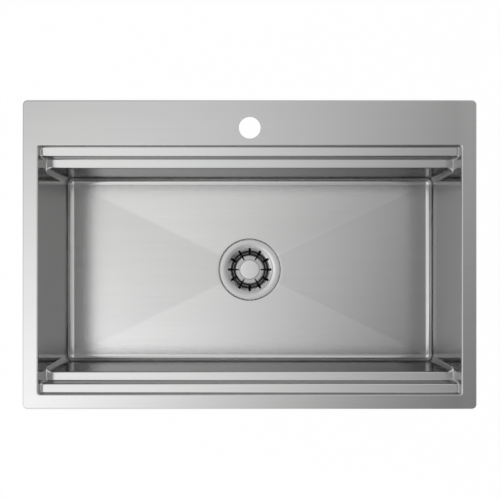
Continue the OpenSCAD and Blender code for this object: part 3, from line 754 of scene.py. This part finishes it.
def spun(name, painted_light_tones, roughness, groove, deep=None):
    """Pressed steel finished on a lathe: fine rings about the Z axis in relief, tone and gloss over slow
    clouds. tones give a value for level faces and one for upright ones, and the tone between them is
    painted light and shade by facing. deep gives, from the radius and the height, how far a place lies in
    a drawn trough, where painted shade darkens the steel and it is duller."""

    def look(place):
        """Rings are noise of the radius, root (x squared + y squared), and the height. Tone and gloss go
        as in the brushed sheet, with the tone painted darker as shade and the gloss duller by the share
        that lies deep."""
        x, y, z = split(place)
        radius = x.math("SQRT", x * x + y * y)
        turned_place = x.node("ShaderNodeCombineXYZ", {}, {0: radius, 1: 0.0, 2: z})
        rings = noise(turned_place, [2600.0, 1.0, 2600.0]) - 0.5
        clouds = noise(place, [90.0, 90.0, 90.0]) - 0.5
        level = rising(upward(place), *level_range)
        worn = worn_edges(place)
        # Painted light and shade: level faces get one tone and upright faces another.
        tone = painted_light_tones[1] + (painted_light_tones[0] - painted_light_tones[1]) * level
        tone = tone * (1.0 + 0.10 * rings + 0.08 * clouds + 0.08 * worn)
        # Painted shade: darker down in the trough and, less, on the flat middle, where the gloss is duller
        # too.
        trough_shade_and_roughness = deep(radius, z) if deep else 0.0
        tone = tone * (1.0 - 0.5 * trough_shade_and_roughness)
        return {
            "Base Color": coloured(steel_tints, noise(place, [20.0, 20.0, 20.0]), tone),
            "Metallic": 1.0,
            "Roughness": roughness + 0.10 * rings + 0.08 * clouds - 0.04 * worn + 0.3 * trough_shade_and_roughness,
            "Height": groove * rings,
        }

    return finish(name, look)


pressed_steel = spun("pressed_waste", (0.63, 0.50), 0.18, 0.000003)
rubber_tints = (0.024, 0.024, 0.025), (0.038, 0.038, 0.038)
slip_tints = (0.72, 0.64, 0.50), (0.78, 0.71, 0.58)
nut_tints = (0.085, 0.085, 0.09), (0.115, 0.115, 0.12)
black_rubber = moulded("black_rubber", rubber_tints, 0.6, 0.00003, 1200.0, 0.6)
slip_plastic = moulded("slip_ring", slip_tints, 0.5, 0.00002, 900.0, 0.1)
nut_plastic = moulded("nut_plastic", nut_tints, 0.5, 0.00003, 1500.0, 0.5)
dress(black_rubber, "flange_gasket", "rubber_washer")
dress(slip_plastic, "friction_ring")

cup_thread = thread(0.042, -0.2715, -0.2335, 0.003, 0.0007)
outlet_thread = thread(0.0239, -0.3045, -0.2835, 0.0022, 0.0009)
waste_line = eased([
    (20.5, -304.5, 0.3), (20.5, -280.5, 1.0), (40.7, -272.5, 1.5),
    *((radius, height, 0) for radius, height in smooth(throat)),
    (56.3, -228.5, 0.3), (57, -229.2, 0.2), (57, -229.6, 0.2), (56.6, -230, 0.2), (44.8, -230, 0),
    (42.6, -231, 0), *between(42, -232.15, -272.6, 84), (42, -273.28, 0.5), (23.9, -281.66, 0.8),
    *between(23.9, -283, -304.2, 64), (23.5, -304.5, 0),
])


def both_threads(radius, height, angle):
    """Sum of the cup's thread and the outlet's thread, which lie apart."""
    return cup_thread(radius, height, angle) + outlet_thread(radius, height, angle)


waste = solid("turned_waste", [(pressed_steel, [quads(turned(waste_line, 120, both_threads))])])
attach(waste, "sink")
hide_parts("waste_body")

lug_count, lug_half, lug_soft, lug_top = 8, 0.085, 0.022, -0.2382
lug_root, lug_reach, lug_ramp = 0.046, 0.006, 0.0008


def lugs(radius, height, angle):
    """Adds lug_reach at each lug, by a smooth step at its sides and an even ramp at its top and root."""
    off = abs((angle * lug_count / (2 * np.pi) + 0.5) % 1 - 0.5) * 2 * np.pi / lug_count
    side = np.clip((lug_half + lug_soft - off) / (2 * lug_soft), 0, 1)
    out = np.clip((radius - lug_root) / (lug_reach / 2), 0, 1)
    down = np.clip((lug_top - height) / lug_ramp, 0, 1)
    return lug_reach * side ** 2 * (3 - 2 * side) * (out * down)


lock_line = eased([
    (42.05, -236.2, 0.4), (50, -236.2, 0.5), (50, -238.2, 0), (50, -239.0, 0), (50, -248.2, 0.7),
    (46, -248.2, 0), (42.05, -248.2, 0.4),
])
lock_nut = solid("lugged_nut", [(nut_plastic, [quads(turned(lock_line, 240, lugs))])])
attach(lock_nut, "sink")
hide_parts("lock_nut")

# Strainer: a dish pressed from thin stainless sheet, whose rim rests on the waste's throat. Twelve slots,
# six long and six short, are punched across its deep trough, and a plastic guide with a rubber ring sits
# in its middle.
dish_t, dish_rim, dish_bore = 0.8, 43.4, 5.1
rim_round, rim_pinch = 0.4, 0.35
dish_line = smooth([
    (dish_rim, -229.6), (42.0, -230.2), (40.4, -231.05), (38.4, -232.1), (36.8, -233.38), (35.6, -235.54),
    (34.8, -238.1), (34.0, -240.82), (33.0, -242.74), (31.5, -243.3), (30.0, -242.74), (29.0, -240.82),
    (28.2, -238.5), (27.2, -236.74), (25.6, -235.62), (23.4, -235.3), (dish_bore, -235.3),
])
slot_count, slot_end = 12, 42.0
slots = ((20.5, 1.2), (28.8, 2.4))
end_half = 2.4
spread = 0.9
flank_shares = np.array([0.2, 0.55])
hair = 0.01


def slot_half(radius, tip, half):
    """Half width of a slot at a radius, which grows evenly from its tip's half width to end_half and is
    rounded at both ends: root (half squared - distance past the end's centre squared)."""
    tip_centre, end_centre = tip + half, slot_end - end_half
    width = half + (end_half - half) * np.clip((radius - tip_centre) / (end_centre - tip_centre), 0, 1)
    past = np.maximum(np.maximum(tip_centre - radius, radius - end_centre), 0)
    return np.sqrt(np.maximum(width ** 2 - past ** 2, 0))


def dish_heights(radius):
    """Heights of the lower and the upper face at a radius. The upper one lies a sheet along the normal of
    the lower, and over the last rim_round both draw together by rim_pinch (1 - root (1 - share
    squared))."""
    step = np.gradient(dish_line, axis=0)
    normal = np.stack([step[:, 1], -step[:, 0]], axis=1) / np.linalg.norm(step, axis=1, keepdims=True)
    over_line = dish_line + dish_t * normal
    under, over = (np.interp(radius, line[::-1, 0], line[::-1, 1]) for line in (dish_line, over_line))
    towards_rim = np.clip((radius - (dish_rim - rim_round)) / rim_round, 0, 1)
    pinch = rim_pinch * (1 - np.sqrt(1 - towards_rim ** 2))
    return under + pinch, over - pinch


def shell(top, bottom, keep):
    """Quads of a shell between two grids whose last column repeats the first, with walls round every kept
    cell that has no kept neighbour."""
    upper, lower = (quads(grid).reshape(*keep.shape, 4, 3) for grid in (top, bottom))
    padded = np.pad(keep, ((1, 1), (0, 0)))
    neighbours = (np.roll(keep, 1, axis=1), padded[2:], np.roll(keep, -1, axis=1), padded[:-2])
    walls = []
    for corner, neighbour in enumerate(neighbours):
        edge, after = keep & ~neighbour, (corner + 1) % 4
        walls.append(np.stack([
            upper[edge, after], upper[edge, corner], lower[edge, corner], lower[edge, after]
        ], axis=1))
    return [upper[keep], lower[keep][:, ::-1], *walls]


tip_turn = 1 - np.cos(np.linspace(0, np.pi / 2, 6))
radii = np.concatenate([
    dish_line[::2, 0], dish_rim - rim_round * np.array([1, 0.5, 0.2, 0.05, 0]), np.linspace(8, 22, 8),
    slot_end - end_half * tip_turn, *(tip + half * tip_turn for tip, half in slots),
])
radii = np.unique(np.round(np.clip(radii, dish_bore, dish_rim), 3))
radii = radii[np.concatenate([[True], np.diff(radii) > 2 * hair])]
slot_cell = len(flank_shares) + 1
columns, kept = [], []
for tip, half in slots:
    cut = (radii >= tip - hair) & (radii <= slot_end + hair)
    edge = np.arcsin(np.where(cut, slot_half(radii, tip, half), spread) / radii)[:, None]
    flank = edge + (np.pi / slot_count - edge) * flank_shares
    columns.append(np.hstack([
        edge * 0 - np.pi / slot_count, -flank[:, ::-1], -edge, edge * 0, edge, flank
    ]))
    whole = np.ones((len(radii) - 1, columns[0].shape[1]), bool)
    whole[np.ix_(cut[1:] & cut[:-1], [slot_cell, slot_cell + 1])] = False
    kept.append(whole)
pair = np.hstack([columns[0], columns[1] + 2 * np.pi / slot_count])
turns = np.hstack([pair + k * 4 * np.pi / slot_count for k in range(slot_count // 2)])
turns = np.hstack([turns, turns[:, :1] + 2 * np.pi])
kept = np.tile(np.hstack(kept), slot_count // 2)
plan = 0.001 * radii[:, None, None] * np.dstack([np.cos(turns), np.sin(turns)])
under, over = (np.dstack([plan, 0.001 * height[:, None] + 0 * turns]) for height in dish_heights(radii))
trough_top, trough_side, trough_r = (-0.2385, -0.2350), (0.0345, 0.0370), 0.0315


def in_trough(radius, height):
    """Mask of painted shade: from 0 on the rim to 1 down in the trough, and 0.4 on the flat middle under
    the cap. The height counts as higher towards the middle, by half the distance in from trough_r."""
    shifted = height + 0.5 * (trough_r - radius)
    return 1.0 - rising(shifted, *trough_top) * (0.6 + 0.4 * rising(radius, *trough_side))


# The dish's tone is painted darker in its trough and on its middle, as shade.
dish_steel = spun("pressed_dish", (0.66, 0.40), 0.20, 0.000003, in_trough)
dish = solid("slotted_dish", [(dish_steel, shell(over, under, kept))])
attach(dish, "basket")
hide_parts("basket_dish")

guide_tints = (0.80, 0.80, 0.77), (0.86, 0.86, 0.84)
white_plastic = moulded("guide_plastic", guide_tints, 0.45, 0.00001, 1500.0, 0.05)
dress(white_plastic, "stem_guide")
dress(black_rubber, "detent_ring")

# Stopper: a flat cap on a stem that slides in the guide, with two grooves for its ring. A rubber stopper
# under a steel disc is screwed to the foot of the stem and closes the outlet.
cap_line = eased([
    (0, -231.5, 0), (6.6, -231.537, 0), (13.2, -231.647, 0), (17.9, -231.79, 0.2), (18.8, -232.7, 0.2),
    (18.8, -234.2, 0.3), (17.8, -234.2, 0.3), (17.8, -233.2, 0.4), (0, -233.2, 0),
])
cap_steel = spun("cap_steel", (0.72, 0.66), 0.24, 0.000003)
cap = solid("round_cap", [(cap_steel, [quads(turned(cap_line, 128))])])
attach(cap, "stopper")
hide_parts("stopper_cap")

stem_line = eased([
    (0, -233.2, 0), (3, -233.2, 0), (3, -238.3, 0.15), (2.75, -238.3, 0.1), (2.75, -239.3, 0.1),
    (3, -239.3, 0.15), (3, -246.3, 0.15), (2.75, -246.3, 0.1), (2.75, -247.3, 0.1), (3, -247.3, 0.15),
    (3, -274, 0.3), (2.05, -274, 0.1), (2.05, -265, 0), (0, -265, 0),
])
stem = solid("grooved_stem", [(pressed_steel, [quads(turned(stem_line, 48))])])
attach(stem, "stopper")
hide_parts("stopper_stem")

seal_line = eased([
    (2.1, -275, 0), (14, -275, 0.5), (17, -276.2, 1.2), (29, -275.9, 0.4), (29, -276.8, 0.4),
    (23.5, -279, 0.6), (2.1, -279, 0),
])
seal = solid("moulded_stopper", [(black_rubber, [quads(turned(seal_line, 96))])])
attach(seal, "stopper")
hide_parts("stopper_seal")
dress(pressed_steel, "seal_disc", "seal_screw")

# Pale ground of the stage, just under the sink. The camera and the polished steel see it white, with a
# faint shadow kept, and from below it is clear.
stage_half, ground_gap = 4, 0.001
white, pale = (1.0, 1.0, 1.0, 1.0), (0.85, 0.85, 0.85, 1.0)


def level_square(height):
    """Quads of a level square of the stage's size at a height, facing up."""
    rows = [[[x, y, height] for x in (-stage_half, stage_half)] for y in (stage_half, -stage_half)]
    return [quads(np.array(rows))]


ground = bpy.data.materials.new("pale_ground")
rays = opened(ground, "ShaderNodeLightPath", "Is Camera Ray")
glossy = rays.node("ShaderNodeLightPath", {}, {}, result="Is Glossy Ray")
matt = rays.node("ShaderNodeBsdfDiffuse", {}, {"Color": pale})
glow = rays.node("ShaderNodeEmission", {}, {"Color": white, "Strength": 1.0})
shown = rays.node("ShaderNodeMixShader", {}, {0: 0.99 * (rays + glossy), 1: matt, 2: glow})
below = rays.node("ShaderNodeNewGeometry", {}, {}, result="Backfacing")
clear = rays.node("ShaderNodeBsdfTransparent", {}, {"Color": white})
shown = rays.node("ShaderNodeMixShader", {}, {0: below, 1: shown, 2: clear})
rays.node("ShaderNodeOutputMaterial", {}, {"Surface": shown})
solid("ground", [(ground, level_square(cad_box[0][2] - ground_gap))])

# Graded scrim of a photographer's light tent, over the sink: it lets less light through towards the
# right, and isn't seen itself. Its share of light is exp of a quadratic of the place.
scrim_z, scrim_shift = 0.3, 0.32


def held(value, limit):
    """Value kept between minus a limit and the limit."""
    return value.math("MAXIMUM", value.math("MINIMUM", value, limit), -limit)


scrim = bpy.data.materials.new("graded_scrim")
place = opened(scrim, "ShaderNodeTexCoord", "Object")
x, y = split(place)[:2]
x, y = held(x, 0.5), held(y, 0.4)
share = x.math("EXPONENT", x * (1.38 * y - 1.48 * x - 0.79) - y * (0.13 * y + 0.09) - scrim_shift)
tint = share.node("ShaderNodeCombineXYZ", {}, {0: share, 1: share, 2: share})
clear = share.node("ShaderNodeBsdfTransparent", {}, {"Color": tint})
share.node("ShaderNodeOutputMaterial", {}, {"Surface": clear})
screen = solid("scrim", [(scrim, level_square(scrim_z))])
screen.visible_camera = False

# Soft studio light: a wide lit ceiling, graded towards the right and the rear, the paler walls of the
# tent, and a dark flag hung high at the right that draws the shaded side of small round forms.
world = bpy.data.worlds.new("studio")
bpy.context.scene.world = world
direction = opened(world, "ShaderNodeTexCoord", "Generated")
dx, dy, dz = split(direction)
rise = dz.math("MAXIMUM", dz, 0.2)
aside, ahead = dx / rise, dy / rise
u, v = held(aside, 0.4), held(ahead, 0.4)
ceiling = u.math("EXPONENT", scrim_shift - 0.21 + u * (0.5 * u + 1.37 * v - 0.92) + v * (0.14 - 1.53 * v))
overhead = rising(dz, 0.80, 0.94)
tent = 1.1 + 0.55 * dx * dx + 0.3 * dx + 0.2 * dx * dy
light = overhead * ceiling + (1.0 - overhead) * tent
seen = direction.node("ShaderNodeLightPath", {}, {}, result="Is Camera Ray")
flag = rising(aside, 0.45, 0.75) * (1.0 - rising(aside, 1.8, 2.5)) * (1.0 - rising(ahead, 0.3, 1.2))
flag = flag * (0.35 + 0.65 * rising(abs(dy) / (abs(dx) + 0.05), 0.15, 0.6))
strength = seen + (1.0 - seen) * light * (1.0 - 0.8 * flag)
backdrop = direction.node("ShaderNodeBackground", {}, {"Color": white, "Strength": strength})
direction.node("ShaderNodeOutputWorld", {}, {"Surface": backdrop})

# Camera straight above the waste, at the height and with the framing of the photograph. It looks straight
# down, and a small shift sets the rim in the frame.
camera_height = 1.300
view_width = 0.808
camera = bpy.data.cameras.new("camera")
camera.sensor_width = 36.0
camera.lens = camera.sensor_width * (camera_height - deck_high[2]) / view_width
camera.shift_x = 0.0006
camera.shift_y = 0.0350
eye = bpy.data.objects.new("camera", camera)
eye.location = (0, 0.004, camera_height)
bpy.context.scene.collection.objects.link(eye)
bpy.context.scene.camera = eye
bpy.context.scene.view_settings.view_transform = "Standard"
